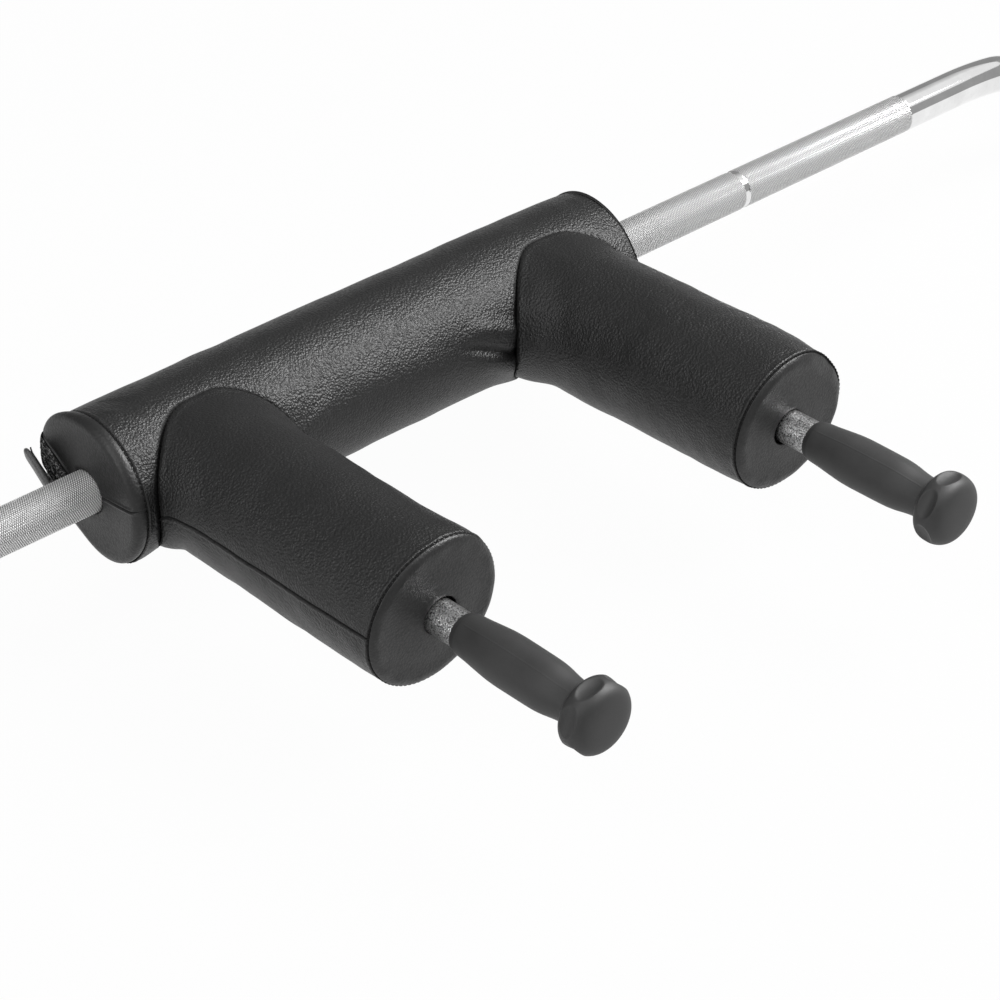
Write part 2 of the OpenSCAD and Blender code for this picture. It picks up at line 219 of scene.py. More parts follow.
# %% Thread, tape, rubber
def matt(name, scale, detail, dark, light, rough, bump, **more):
    """A dull material whose fine noise gives both the shade and the bump."""
    f = Finish(name)
    fine = f.noise(scale, detail, 0.6)
    return f.surface(Base_Color=f.ramp(fine, dark, light), Roughness=rough, Normal=f.bump(fine, *bump), **more)


thread = matt("thread", 1500, 2, (0.2, grey(0.002)), (0.9, grey(0.006)), 0.75, (0.4, 0.0002),
              Specular_IOR_Level=0.2)
f = Finish("hook_and_loop")
tangle = f.noise(1500, 4, 0.75)
coarse = f.noise(420, 3, 0.7)
# Painted highlights: the light grey flecks stand in for glints on the nylon loops.
shade = f.ramp((tangle + coarse) * 0.5, (0.45, grey(0.003)), (0.52, grey(0.03)), (0.58, grey(0.60)))
tape = f.surface(Base_Color=shade, Roughness=0.8, Specular_IOR_Level=0.3,
                 Normal=f.bump(tangle * 0.5 + coarse * 0.7, 0.9, 0.0012))
f = Finish("grip_rubber")
haze = f.noise(45, 4, 0.6)
fine = f.noise(1900, 3, 0.65)
rubber = f.surface(Base_Color=f.ramp(haze, (0.25, grey(0.024)), (0.8, grey(0.040))),
                   Roughness=(0.50 + haze * 0.16).clamped(), Normal=f.bump(fine, 0.35, 0.00018))
print("thread, tape and rubber made")

# %% [markdown]
# ## The metals
# Chrome is nearly a mirror: its look comes from what it reflects, with a trace of haze. The mark "groove"
# darkens the bottoms of the knurl's grooves, where light hardly reaches. The arms have a rough, pebbled
# plating, and the parts inside the sleeves are plain steel and sintered bronze.

# %% Metals and cap plastic
def metal(name, level, rough, ripple, ripple_scale, tint=(1, 1, 1)):
    f = Finish(name)
    cloud = f.noise(ripple_scale, 4, 0.65)
    dark = tuple(level * 0.88 * t for t in tint)
    light = tuple(level * 1.05 * t for t in tint)
    return f.surface(Base_Color=f.ramp(cloud, (0.3, dark), (0.75, light)), Metallic=1.0,
                     Roughness=(rough + (cloud - 0.5) * rough * 0.7).clamped(),
                     Normal=f.bump(cloud, 0.25, ripple))


chrome = metal("chrome", 0.84, 0.07, 0.00003, 35)
f = Finish("knurled_chrome")
groove = (f.mark("groove") * 3.0 - 1.70).clamped()
bright = f.ramp(f.noise(60, 3, 0.6), (0.3, grey(0.94)), (0.75, grey(1.0)))
knurl_chrome = f.surface(Base_Color=f.mix(groove, bright, (*grey(0.02), 1)), Metallic=0.35,
                         Roughness=(0.20 + groove * 0.4).clamped())
f = Finish("arm_steel")
lumps = f.cells(900)
mottle = f.noise(800, 4, 0.75)
colour = f.ramp(mottle * 0.7 + lumps * 0.5, (0.40, grey(0.80)), (0.62, grey(0.46)), (0.78, grey(0.07)))
arm_steel = f.surface(Base_Color=colour, Metallic=1.0, Roughness=(0.26 + lumps * 0.2).clamped(),
                      Normal=f.bump(mottle * 0.7 - lumps * 0.4, 0.8, 0.0005))
plain_steel = metal("plain_steel", 0.50, 0.34, 0.0002, 300)
weld_steel = metal("weld_steel", 0.34, 0.45, 0.0006, 240)
bronze = metal("bronze", 0.55, 0.42, 0.0002, 500, (1.0, 0.72, 0.38))
cap_plastic = matt("cap_plastic", 900, 3, (0.3, grey(0.022)), (0.8, grey(0.034)), 0.5, (0.3, 0.0002))
print("metals made")

# %% Dress the CAD nodes that stay
def dress(material, *names):
    """Puts one material on CAD nodes that keep their shape."""
    for name in names:
        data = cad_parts[name].data
        data.materials.clear()
        data.materials.append(material)


SIDES = (("left", -1), ("right", 1))
dress(weld_steel, *[f"{s}_arm_weld" for s, _ in SIDES])
dress(bronze, *[f"{s}_{n}" for s, _ in SIDES for n in ("inner_bush", "outer_bush", "thrust_washer")])
dress(plain_steel, *[f"{s}_{n}" for s, _ in SIDES for n in ("outer_washer", "retaining_ring")])
print("CAD nodes dressed")

# %% [markdown]
# ## Shells from grids of points
# Nearly every piece is a skin on a grid: columns run round it and rows along it. The last row meets the
# first, as in a ring, or both ends close on a point.

# %% Build a mesh from points and faces
def signed_volume(points, triangles):
    """Six times the enclosed volume, sum a . (b x c) over triangles: positive if faces point out."""
    a, b, c = points[triangles[:, 0]], points[triangles[:, 1]], points[triangles[:, 2]]
    return float(np.einsum("ij,ij->i", a, np.cross(b, c)).sum())


def piece_from(name, points_mm, faces, material, slot, body="bar", smooth=40, mark=None):
    """Makes an object from points in millimetres and rows of vertex numbers, turned so that faces point out."""
    points = points_mm * 0.001
    fan = np.concatenate([np.column_stack([f[:, 0], f[:, i], f[:, i + 1]]) for f in faces
                          for i in range(1, f.shape[1] - 1)])
    flip = signed_volume(points - points.mean(0), fan) < 0
    loops = np.concatenate([(f[:, ::-1] if flip else f).ravel() for f in faces])
    sizes = np.concatenate([np.full(len(f), f.shape[1]) for f in faces])
    mesh = bpy.data.meshes.new(name)
    mesh.vertices.add(len(points))
    mesh.vertices.foreach_set("co", points.ravel())
    mesh.loops.add(len(loops))
    mesh.loops.foreach_set("vertex_index", loops.astype(np.int32))
    mesh.polygons.add(len(sizes))
    mesh.polygons.foreach_set("loop_start", np.concatenate([[0], np.cumsum(sizes)[:-1]]).astype(np.int32))
    mesh.update(calc_edges=True)
    mesh.polygons.foreach_set("use_smooth", np.full(len(sizes), smooth > 0))
    if smooth:
        mesh.set_sharp_from_angle(angle=math.radians(smooth))
    if mark:
        values = np.zeros(len(points), dtype=np.float32)
        values[:mark[1].size] = mark[1].ravel()
        mesh.attributes.new(mark[0], "FLOAT", "POINT").data.foreach_set("value", values)
    mesh.materials.append(material)
    piece = bpy.data.objects.new(name, mesh)
    bpy.context.scene.collection.objects.link(piece)
    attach(piece, body)
    print(name, len(fan), "triangles")
    return piece

# %% Skins from grids
def shell_faces(rows, columns, ring, first=0):
    """Quads between neighbouring rows, with columns that wrap. In a ring the last row meets the first."""
    row = columns * np.arange(rows if ring else rows - 1)[:, None]
    after = (row + columns) % (rows * columns)
    c = np.arange(columns)
    right = (c + 1) % columns
    return np.stack([row + c, row + right, after + right, after + c], -1).reshape(-1, 4) + first


def tip_faces(rows, columns):
    """Triangles that close a skin's ends on two points, which follow those of its grid."""
    c = np.arange(columns)
    right = (c + 1) % columns
    last, tip = (rows - 1) * columns, np.full(columns, rows * columns)
    near, far = [tip, right, c], [tip + 1, last + c, last + right]
    return np.concatenate([np.column_stack(near), np.column_stack(far)])


def shell(name, grid, material, ring=True, **options):
    """A closed skin from a grid of points, rows x columns x 3, with a point at each end if it is no ring."""
    points = grid.reshape(-1, 3)
    faces = [shell_faces(*grid.shape[:2], ring)]
    if not ring:
        points = np.vstack([points, grid[0].mean(0), grid[-1].mean(0)])
        faces.append(tip_faces(*grid.shape[:2]))
    return piece_from(name, points, faces, material, **options)

# %% Rings, bells and soft noise
def circle(count):
    """Angles spaced evenly once round."""
    return np.linspace(0, 2 * np.pi, count, endpoint=False)


def xyz(*parts):
    """Coordinates joined to points, once they are brought to one shape."""
    return np.stack(np.broadcast_arrays(*parts), -1)


def about_x(x, r, angle):
    """Points round the X axis: (x, -r cos a, r sin a), so 0 is the front and 90 degrees the top."""
    return xyz(x, -r * np.cos(angle), r * np.sin(angle))


def bell(distance, width):
    """exp(-(d/w)^2): a smooth hump that is 1 on the line and gone two widths away."""
    return np.exp(-(distance / width) ** 2)


def off_angle(angle, centre):
    """An angle in radians less one in degrees, as degrees between -180 and 180."""
    return (np.degrees(angle) - centre + 180) % 360 - 180


def ease(t):
    """3t^2 - 2t^3 between 0 and 1: starts and ends level."""
    t = np.clip(t, 0, 1)
    return t * t * (3 - 2 * t)


def unit(vectors):
    """Vectors brought to length 1."""
    return vectors / np.linalg.norm(vectors, axis=-1, keepdims=True)


def waves(points, wavelength, count, seed):
    """A sum of plane waves in random directions, scaled to about -1..1: unevenness with one typical size."""
    rng = np.random.default_rng(seed)
    way = unit(rng.normal(size=(count, 3)))
    size = wavelength * rng.uniform(0.7, 1.5, count)
    phase = rng.uniform(0, 2 * np.pi, count)
    return np.sin(points @ (way.T * 2 * np.pi / size) + phase).sum(-1) / math.sqrt(count)


def graded(*stretches):
    """Places along a line: each stretch is (start, end, step), and they are joined without doubles."""
    runs = [np.linspace(a, b, max(1, round(abs(b - a) / step)), endpoint=False) for a, b, step in stretches]
    return np.concatenate([*runs, [stretches[-1][1]]])

# %% [markdown]
# ## The shaft
# One round bar: straight, led gently into a steep bend, and bent level again for the sleeves. Its path is a
# list of lengths and turns. A circle is carried along it whose radius follows what was turned: the relief for
# the knurling, the ring marks, the shoulder and the retaining ring's groove.

# %% The shaft's path and profile
SHAFT_R = 16.0
BEND_START, LEAD_R, LEAD_A, BEND_R, CAMBER_A, DROP = 672.0, 450.0, 6.7, 80.0, 50.0, 75.0
KNURL_FROM, KNURL_TO, KNURL_RELIEF = 241.0, 605.0, 0.22
RING_X, RING_W, RING_DEPTH = 401.0, 4.5, 0.7
SPINDLE, SPINDLE_R, GROOVE_R = 246.3, 14.0, 13.0
lead, steep = math.radians(LEAD_A), math.radians(CAMBER_A)
slope = (DROP - LEAD_R * (1 - math.cos(lead)) - 2 * math.sin(lead) - BEND_R * (math.cos(lead) - math.cos(steep))
         - BEND_R * (1 - math.cos(steep))) / math.sin(steep)
TURNS = [(BEND_START, 0), (LEAD_R * lead, lead), (2, 0), (BEND_R * (steep - lead), steep - lead), (slope, 0),
         (BEND_R * steep, -steep), (16, 0)]
SHOULDER_U = sum(length for length, _ in TURNS)


def shaft_path(u):
    """Points on the shaft's axis at arc length u and the downward angle there: each stretch adds its arc."""
    x, z, angle = np.zeros_like(u), np.zeros_like(u), np.zeros_like(u)
    for length, turn in [*TURNS, (SPINDLE + 9, 0)]:
        part = np.clip(u, 0, length)
        swept = turn * part / length
        middle = angle + swept / 2
        chord = part * np.sinc(swept / 2 / np.pi)
        x = x + chord * np.cos(middle)
        z = z - chord * np.sin(middle)
        angle = angle + swept
        u = u - length
    return x, z, angle


end_x, end_z, _ = shaft_path(np.array([SHOULDER_U]))

# %% The shaft's skin
tip = SHOULDER_U + SPINDLE
low = SHAFT_R - KNURL_RELIEF
ring = SHAFT_R - RING_DEPTH
profile = np.array([
    (0, SHAFT_R), (KNURL_FROM, SHAFT_R), (KNURL_FROM + 0.2, low), (RING_X - RING_W / 2, low),
    (RING_X - RING_W / 2 + 0.5, ring), (RING_X + RING_W / 2 - 0.5, ring), (RING_X + RING_W / 2, low),
    (KNURL_TO - 0.2, low), (KNURL_TO, SHAFT_R), (SHOULDER_U - 0.6, SHAFT_R), (SHOULDER_U, SHAFT_R - 0.6),
    (SHOULDER_U + 0.02, SPINDLE_R), (tip - 8.8, SPINDLE_R), (tip - 8.75, GROOVE_R), (tip - 6.95, GROOVE_R),
    (tip - 6.9, SPINDLE_R), (tip - 1, SPINDLE_R), (tip, SPINDLE_R - 1), (tip + 0.01, 6), (tip + 0.02, 0.5)])
extra = graded((0, 660, 20), (660, SHOULDER_U - 2, 2.5))
us = np.unique(np.concatenate([profile[:, 0], extra]))
r = np.interp(us, profile[:, 0], profile[:, 1])
x, z, angle = shaft_path(us)
turn = circle(96)
up = r[:, None] * np.sin(turn)
half = xyz(x[:, None] + up * np.sin(angle)[:, None], -r[:, None] * np.cos(turn),
           z[:, None] + up * np.cos(angle)[:, None])
grid = np.concatenate([half[::-1] * [-1, 1, 1], half[1:]])
piece = shell("steel_shaft", grid, chrome, ring=False, slot="shaft_chrome")
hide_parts("shaft")

# %% [markdown]
# ## Knurling
# Two families of slanting grooves are rolled into the steel and leave rows of small pyramids. On a grid whose
# points are by turns a groove's crossing and a tip, four triangles make a pyramid, so tens of thousands of
# them stay affordable.

# %% Knurled bands
KNURL_PITCH = 1.7
KNURL_TIP, KNURL_VALLEY, KNURL_EDGE, KNURL_LINER = SHAFT_R + 0.10, SHAFT_R - 0.19, SHAFT_R - 0.25, SHAFT_R - 0.6


def knurl(name, side):
    """Radius = tip where row + column is odd, valley where it is even; the valleys carry the mark "groove"."""
    around = 2 * round(np.pi * SHAFT_R / KNURL_PITCH)
    quads, tris, points, depths = [], [], [], []
    first = 0
    bands = ((KNURL_FROM + 0.4, RING_X - RING_W / 2 - 0.2), (RING_X + RING_W / 2 + 0.2, KNURL_TO - 0.4))
    for start, stop in bands:
        along = 2 * round((stop - start) / KNURL_PITCH) + 1
        i, j = np.meshgrid(np.arange(along), np.arange(around), indexing="ij")
        tip = (i + j) % 2
        edge = (i == 0) | (i == along - 1)
        r = np.where(edge, KNURL_EDGE, np.where(tip == 1, KNURL_TIP, KNURL_VALLEY))
        x = side * (start + (stop - start) * i / (along - 1))
        grid = about_x(x, r, j * 2 * np.pi / around)
        liner = grid[[-1, 0]].copy()
        liner[..., 1:] *= KNURL_LINER / KNURL_EDGE
        points.append(np.concatenate([grid, liner]).reshape(-1, 3))
        depths.append(np.concatenate([1.0 - tip, np.ones((2, around))]).ravel())
        faces = shell_faces(along + 2, around, True, first)
        outer, inner = np.split(faces, [(along - 1) * around])
        low = tip[:-1].reshape(-1, 1) == 0
        tris.append(np.where(low, outer[:, [0, 1, 2]], outer[:, [0, 1, 3]]))
        tris.append(np.where(low, outer[:, [0, 2, 3]], outer[:, [1, 2, 3]]))
        quads.append(inner)
        first += (along + 2) * around
    piece_from(name, np.concatenate(points), [np.concatenate(quads), np.concatenate(tris)], knurl_chrome,
               slot="shaft_chrome", smooth=0, mark=("groove", np.concatenate(depths)))


for word, side in SIDES:
    knurl(word + "_knurl", side)

# %% [markdown]
# ## Arm tubes and turned parts
# The two arms are tubes whose inner ends are coped to sit on the shaft. Sleeves, collars and end caps come
# off a lathe, so each is a profile of (distance along the spindle, radius) carried once round.

# %% Arm tubes
ARM_X = 167.0
TUBE_R, TUBE_WALL, TUBE_END = 12.7, 3.0, 414.0


def arm_tube(word, side):
    """Outer and inner wall as one ring. The coped end starts at sqrt(R^2 - z^2) in front of the axis."""
    turn = circle(96)
    rows = []
    for radius, ends in ((TUBE_R, (0, 1)), (TUBE_R - TUBE_WALL, (1, 0))):
        x, z = radius * np.cos(turn), radius * np.sin(turn)
        start = np.sqrt((SHAFT_R + 0.05) ** 2 - z ** 2)
        for share in ends:
            rows.append(xyz(side * ARM_X + x, -start - share * (TUBE_END - start), z))
    piece = shell(word + "_arm_steel_tube", np.stack(rows), arm_steel, slot="arm_steel")
    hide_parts(word + "_arm_tube")


for word, side in SIDES:
    arm_tube(word, side)

# %% Sleeves, collars and end caps
SHOULDER_X = float(end_x[0])


def turned(word, side, name, node, profile, material, slot, ring=True):
    """A lathe piece on the sleeve's axis: (u, r) pairs, u outward from the spindle's shoulder."""
    u, r = np.array(profile, dtype=float).T[..., None]
    grid = about_x(side * (SHOULDER_X + u), r, circle(128)) - [0, 0, DROP]
    piece = shell(f"{word}_{name}", grid, material, ring=ring, body=word + "_sleeve_set", slot=slot)
    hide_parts(f"{word}_{node}")


SLEEVE = [(3.3, 19.05), (3.3, 24), (19.35, 24), (19.35, 24.7), (19.65, 25), (264.3, 25), (265.0, 24.75),
          (265.3, 24), (265.3, 19.05)]
COLLAR = [(-8, 16.8), (-8, 29), (-7.4, 30.4), (-6, 31), (2.3, 31), (3.1, 31.5), (3.3, 32.5), (3.3, 38.5),
          (3.7, 39.5), (4.8, 40), (17.8, 40), (18.9, 39.5), (19.3, 38.5), (19.3, 24.05), (3.25, 24.05),
          (3.25, 19), (-4, 19), (-4, 16.8)]
CAP = [(255.3, 0.5), (255.3, 19), (265.4, 19), (265.4, 24), (267.3, 24), (268.0, 23.6), (268.3, 22.8),
       (268.3, 20.5), (267.9, 20.0), (267.9, 12), (268.1, 6), (268.15, 0.5)]
for word, side in SIDES:
    turned(word, side, "chrome_sleeve", "sleeve", SLEEVE, chrome, "sleeve_chrome")
    turned(word, side, "chrome_collar", "collar", COLLAR, chrome, "sleeve_chrome")
    turned(word, side, "cap", "end_cap", CAP, cap_plastic, "cap_plastic", ring=False)

# %% [markdown]
# ## The main pad
# The cover is tight, so it is nearly a cylinder, but leather tells how it was sewn: it draws in at every
# seam, puckers there, and swells a little between. A radius that varies along and round the pad says all of
# that.

# %% How leather behaves at a seam
def sewn(d, draw=0.35, reach=5.0, roll=0.40, width=0.6):
    """Radius lost d mm from a seam: a crease 1.5 mm deep and a wide draw, less the edge rolled up beside it."""
    return 1.5 * bell(d, width) + draw * bell(d, reach) - roll * bell(d - 1.9, 0.9)


def puckers(d, size, phase, reach=10.0, clear=3.0):
    """Small gathers beside a seam: a sine along it, strongest close by and gone on the seam itself."""
    return size * bell(d, reach) * np.sin(phase) * ease(d / clear)

# %% Main pad: its seams and folds
PAD_R, PAD_SEAM, PAD_CROWN, PAD_DOME = 56.0, 236.0, 0.8, 10.0
ARM_R, ARM_ROOT_OUT = 55.7, 0.75
SADDLE_R = 55.4


def saddle_radius(phi):
    """Distance of the saddle seam from an arm's axis: 52 mm on top, wider at both sides and widest low down."""
    side = np.cos(phi) ** 2
    spread = (1 - np.exp(-2.3 * side)) / (1 - math.exp(-2.3))
    outer = 7.5 + 15.0 * np.maximum(0, -np.sin(phi)) ** 2
    return 52.0 + spread * np.where(np.cos(phi) > 0, 11.0, outer) + 4.0 * bell(off_angle(phi, -50), 24)


def crease(x, theta, start, stop, width, height):
    """A fold between two places in (mm, degrees) on the unrolled pad: a bell, faded at its ends.

    Places are complex numbers: dividing by the fold's gives shares of its length along it and away from it.
    """
    a, b = (complex(place, math.radians(angle) * PAD_R) for place, angle in (start, stop))
    length = abs(b - a)
    spot = (x + 1j * theta * PAD_R - a) / (b - a)
    return height * bell(spot.imag * length, width) * ease(spot.real * 3) * ease((1 - spot.real) * 3)


PAD_FOLDS = [
    ((-228, 96), (-206, 62), 4, 0.8), ((-222, 110), (-196, 80), 3.5, -0.5), ((222, 60), (226, 110), 6, 0.7),
    ((46, 20), (124, -19), 3.4, -3.6), ((58, 30), (122, 2), 7, 2.6), ((60, 2), (120, -34), 8, 1.8),
    ((-60, 30), (-126, -6), 6, 0.9)]
print("saddle seam from", round(float(saddle_radius(np.array(np.pi / 2))), 1), "to",
      round(float(saddle_radius(np.array(0.0))), 1), "mm off the arm's axis")

# %% Main pad: its radius everywhere
def pad_radius(x, theta):
    """The leather's radius: crown, less the seams' pull, plus puckers and folds. Also the mark for painted seam
    shade.
    """
    e = PAD_SEAM - np.abs(x)
    r = PAD_R - PAD_CROWN * (x / PAD_SEAM) ** 2 - sewn(e)
    r = r + puckers(e, 0.22, 17 * theta + 0.6 * np.sin(3 * theta), clear=4)
    # It falls off on top at the right end, and bags under each arm and at the left end.
    r = r - 3.2 * ease((x - 200) / 34) * bell(off_angle(theta, 78), 42)
    r = r + 4.5 * bell(np.abs(x) - 130, 20) * bell(off_angle(theta, -56), 20)
    r = r + 2.6 * bell(x + 232, 15) * bell(off_angle(theta, -60), 20)
    mark = 1.8 * bell(e, 0.6)
    z = r * np.sin(theta)
    front = np.cos(theta) > 0
    for side in (-1, 1):
        dx = -side * (x - side * (ARM_X + ARM_ROOT_OUT))
        rho = np.hypot(dx, z)
        phi = np.arctan2(z, dx)
        tilt = np.hypot(dx, z * np.cos(theta)) / np.maximum(rho, 1)
        d = (rho - saddle_radius(phi)) / np.maximum(tilt, 0.3)
        outside = -1.4 * bell(d, 0.9) - 0.35 * bell(d, 6) + puckers(d, 0.28, 11 * phi, 9, 4)
        inside = -1.8 - 2.8 * ease(-d / 6)
        r = r + np.where(front, np.where(d > 0, outside, inside), 0)
        mark = mark + np.where(front & (d > -2), 1.6 * bell(d, 0.9), 0)
    for start, stop, width, height in PAD_FOLDS:
        r = r + crease(x, theta, start, stop, width, height)
    point = about_x(x, r, theta)
    return r + 0.40 * waves(point, 75, 14, 3) + 0.16 * waves(point, 26, 16, 4), mark

# %% Main pad: its skin
half = graded((0, 96, 3.0), (96, 228, 1.5), (228, 233.6, 0.7), (233.6, 236, 0.24))
xs = np.concatenate([-half[:0:-1], half])
turns = np.radians(graded((-180, -78, 4.0), (-78, 78, 1.3), (78, 180, 2.6))[:-1])
x, theta = np.meshgrid(xs, turns, indexing="ij")
r, mark = pad_radius(x, theta)
end = PAD_SEAM - 0.2
radii = (50.0, 30.0, SHAFT_R + 0.8)
ends = [(end, radius) for radius in radii] + [(-end, radius) for radius in radii[::-1]]
grid = np.concatenate([about_x(x, r, theta), [about_x(*place, turns) for place in ends]])
piece = shell("main_pad", grid, leather, slot="leatherette", mark=("seam", mark))
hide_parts("main_cover", "main_foam")

# %% [markdown]
# ## The arm pads
# Each arm pad is a tube of its own, sewn to the main pad along a saddle-shaped seam, where its grid starts.
# It ends on the round seam of the end panel. As in the picture, the soft pad lies a little outward and upward
# of the steel, more so towards its end.

# %% Arm pads: where their points lie
ARM_END, END_TILT = 267.3, 0.07
ARM_END_OUT, ARM_END_UP = 2.7, 2.5


def drift(y):
    """How far the soft pad lies outward of and above its arm: both grow evenly from the root to the end."""
    t = np.clip((y - 56) / 213, 0, 1.05)
    return ARM_ROOT_OUT + (ARM_END_OUT - ARM_ROOT_OUT) * t, ARM_END_UP * t


def arm_pad_point(side, y, radius, phi):
    """A point at distance y in front of the shaft. phi is 0 towards the bar's middle and 90 degrees on top."""
    out, up = drift(y)
    return xyz(side * (ARM_X + out - radius * np.cos(phi)), -y, up + radius * np.sin(phi))


def seam_y(phi):
    """How far in front of the shaft the saddle seam lies: where the pad's round surface is at that height."""
    z = saddle_radius(phi) * np.sin(phi)
    return np.sqrt(np.maximum(SADDLE_R ** 2 - z ** 2, 1.0))


def long_seam_angle(y):
    """The lengthwise seam's place round an arm pad: it climbs gently, after a short rise at the root."""
    height = 2.6 + 2.7 * (y - 70) / 200 - 5.0 * bell(y - 54, 9)
    return np.pi - np.arcsin(height / ARM_R)


def arm_columns():
    """Angles round an arm pad, 2.4 degrees apart, and much closer near the lengthwise seam."""
    angles = graded((0, 168, 2.4), (168, 177, 0.9), (177, 183, 0.3), (183, 192, 0.9), (192, 360, 2.4))
    return np.radians(angles[:-1])


def arm_rim(side, phi):
    """How far an arm pad's end is out of round: one is pulled up on top, the other sags at a far corner."""
    if side < 0:
        return 2.6 * bell(off_angle(phi, 66), 27)
    return -3.0 * bell(off_angle(phi, 140), 24)

# %% Arm pads: their skin
def arm_pad_surface(side, s, phi0):
    """Points of an arm pad's leather at distance s from the saddle seam, and the mark for painted seam shade.
    """
    y = seam_y(phi0) + s
    phi = phi0 + (long_seam_angle(y) - np.pi) * bell(phi0 - np.pi, 1.0)
    low = bell(off_angle(phi0, 225), 48)
    reach = 1 - ease(s / (48 - 26 * low))
    r = ARM_R + (saddle_radius(phi0) - ARM_R) * reach
    r = r - (1.4 - 0.6 * low) * bell(s, 0.7) - 0.3 * bell(s, 3) + 0.5 * bell(s - 4.0, 3.0) * (1 - low)
    e = ARM_END + END_TILT * ARM_R * np.sin(phi) - y
    r = r - sewn(e, 0.8, 9, 0.45) + arm_rim(side, phi0) * bell(e, 22)
    d = (phi0 - np.pi) * ARM_R
    r = r - sewn(d, 0.3, 4, 0.45, 0.65)
    r = r + puckers(e, 0.20, 19 * phi0 + side) + puckers(s, 0.30, 13 * phi0 + 2 * side)
    r = r + puckers(np.abs(d), 0.10, y / 2.1, 8, 2)
    point = arm_pad_point(side, y, r, phi)
    r = r + 0.35 * waves(point, 70, 14, 7 + side) + 0.13 * waves(point, 24, 16, 10 + side)
    return arm_pad_point(side, y, r, phi), 1.8 * (bell(s, 0.8) + bell(e, 0.6) + bell(d, 0.7))


def arm_pad(word, side):
    phi0 = arm_columns()
    share = graded((0, 6, 0.4), (6, 30, 1.6), (30, 198, 3.0), (198, 207, 0.9), (207, 210, 0.25)) / 210
    span = ARM_END + END_TILT * ARM_R * np.sin(phi0) - seam_y(phi0)
    s = share[:, None] * span[None, :]
    outer, mark = arm_pad_surface(side, s, np.broadcast_to(phi0, s.shape))
    hidden = [(ARM_END - 4.5 + 0 * phi0, (48.0, 30.0, TUBE_R + 0.5)),
              (np.maximum(seam_y(phi0) - 9, 17), (TUBE_R + 4, 40))]
    rest = [arm_pad_point(side, y, radius, phi0) for y, radii in hidden for radius in radii]
    grid = np.concatenate([outer, np.stack(rest)])
    piece = shell(word + "_arm_pad", grid, leather, slot="leatherette", mark=("seam", mark))
    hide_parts(word + "_arm_cover", word + "_arm_foam")


for word, side in SIDES:
    arm_pad(word, side)

# %% [markdown]
# ## The end panels
# A disc of leatherette closes each pad. It stands out past its seam over a rounded shoulder, is nearly flat,
# and ends in a lip round the tube. The shoulder is a quarter of an ellipse whose width changes round the pad:
# tight where the foam fills it, and slack where it doesn't.

# %% A panel's shoulder
def shoulder_line(rim, out, soft, bulge, slack=0.0, steps=30):
    """(radius, height) from the seam to the face: h = out sin a, and r = rim - soft (1 - cos a) + bulge sin 2a.

    Where the panel is slack it leaves the seam at a slant: r then falls by soft sin a instead.
    """
    a = (np.linspace(0, 1, steps) ** 1.4)[:, None] * np.pi / 2
    fall = (1 - slack) * (1 - np.cos(a)) + slack * np.sin(a)
    radius = rim - soft * fall + bulge * np.sin(2 * a)
    height = np.broadcast_to(out * np.sin(a), radius.shape)
    return radius - 1.1 * bell(height, 0.7), height


def face_rows(r, h, hole, rows, corner, lip):
    """Carries a shoulder over the face to the hole, with a rounded edge and a lip along the tube."""
    share = np.linspace(0, 1, rows)[1:, None]
    edge = np.full((1, r.shape[1]), hole)
    r = np.concatenate([r, r[-1:] + (hole + corner - r[-1:]) * share, edge, edge])
    return r, np.concatenate([h, h[-1:] + 0 * share, h[-1:] - lip[0], h[-1:] - lip[1]])

# %% End panels of the arm pads
def arm_end(word, side):
    phi = circle(240)
    droop = bell(off_angle(phi, 135), 40) * (side > 0)
    soft = 6.5 + 3.0 * bell(off_angle(phi, 300), 60) + 7.0 * droop
    bulge = 0.25 + 0.8 * bell(off_angle(phi, 62), 34) * (side < 0)
    r, h = shoulder_line(54.9 + arm_rim(side, phi), 4.4, soft, bulge, 0.3 + 0.6 * droop)
    r, h = face_rows(r, h, TUBE_R + 1.3, 18, 0.6, (0.5, 2.5))
    h = h - 0.5 * bell(r - 38, 9) + 0.5 * bell(r - 17, 4) + 0.35 * bell(r - 30, 14) * np.sin(2 * phi + 0.5)
    h = h + 0.16 * bell(r - 50, 4) * np.sin(17 * phi + 1)
    hang = ease((r - 15) / 32)
    out = ARM_END_OUT * hang - 1.3 * (1 - hang)
    x = side * (ARM_X + out - r * np.cos(phi))
    z = ARM_END_UP * hang + r * np.sin(phi)
    outer = xyz(x, -(ARM_END + END_TILT * z + h), z)
    back = outer[::-1].copy()
    back[..., 1] = np.maximum(back[..., 1] + 1.3, -(ARM_END + 3.2 + END_TILT * back[..., 2]))
    back[..., 1] = np.minimum(back[..., 1], -(ARM_END - 3.5))
    # The mark "seam" paints shade into the crack along the panel's seam.
    piece = shell(word + "_arm_end", np.concatenate([outer, back]), leather_end, slot="leatherette",
                  mark=("seam", 1.8 * bell(h, 0.6)))
    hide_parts(word + "_arm_end_panel")


for word, side in SIDES:
    arm_end(word, side)

# %% End panels of the main pad
SLIT_A = math.radians(34)
SLIT_T = -9.0


def pad_shoulder(side, turn):
    """The shoulder's width, bulge and slackness round the pad, from the front (0) over the top."""
    if side > 0:
        slack = bell(off_angle(turn, 55), 60)
        return 6.0 + 18.0 * slack, 0.5 * (1 - slack), slack
    slack = 0.85 * bell(off_angle(turn, 248), 36)
    soft = 6.0 - 2.0 * bell(off_angle(turn, 130), 45) + 10.0 * bell(off_angle(turn, 240), 44)
    bulge = 1.2 + 1.2 * bell(off_angle(turn, 308), 34) + 3.0 * bell(off_angle(turn, 147), 34)
    return soft, bulge, slack


def face_height(side, radius, turn):
    """How far the panel stands out at a radius: level inside the shoulder, and along its ellipse beyond."""
    soft, bulge, _ = pad_shoulder(side, turn)
    beyond = np.clip((radius - 0.9 * bulge - (PAD_R - PAD_CROWN - soft)) / soft, 0, 0.98)
    return PAD_DOME * np.sqrt(1 - beyond ** 2)


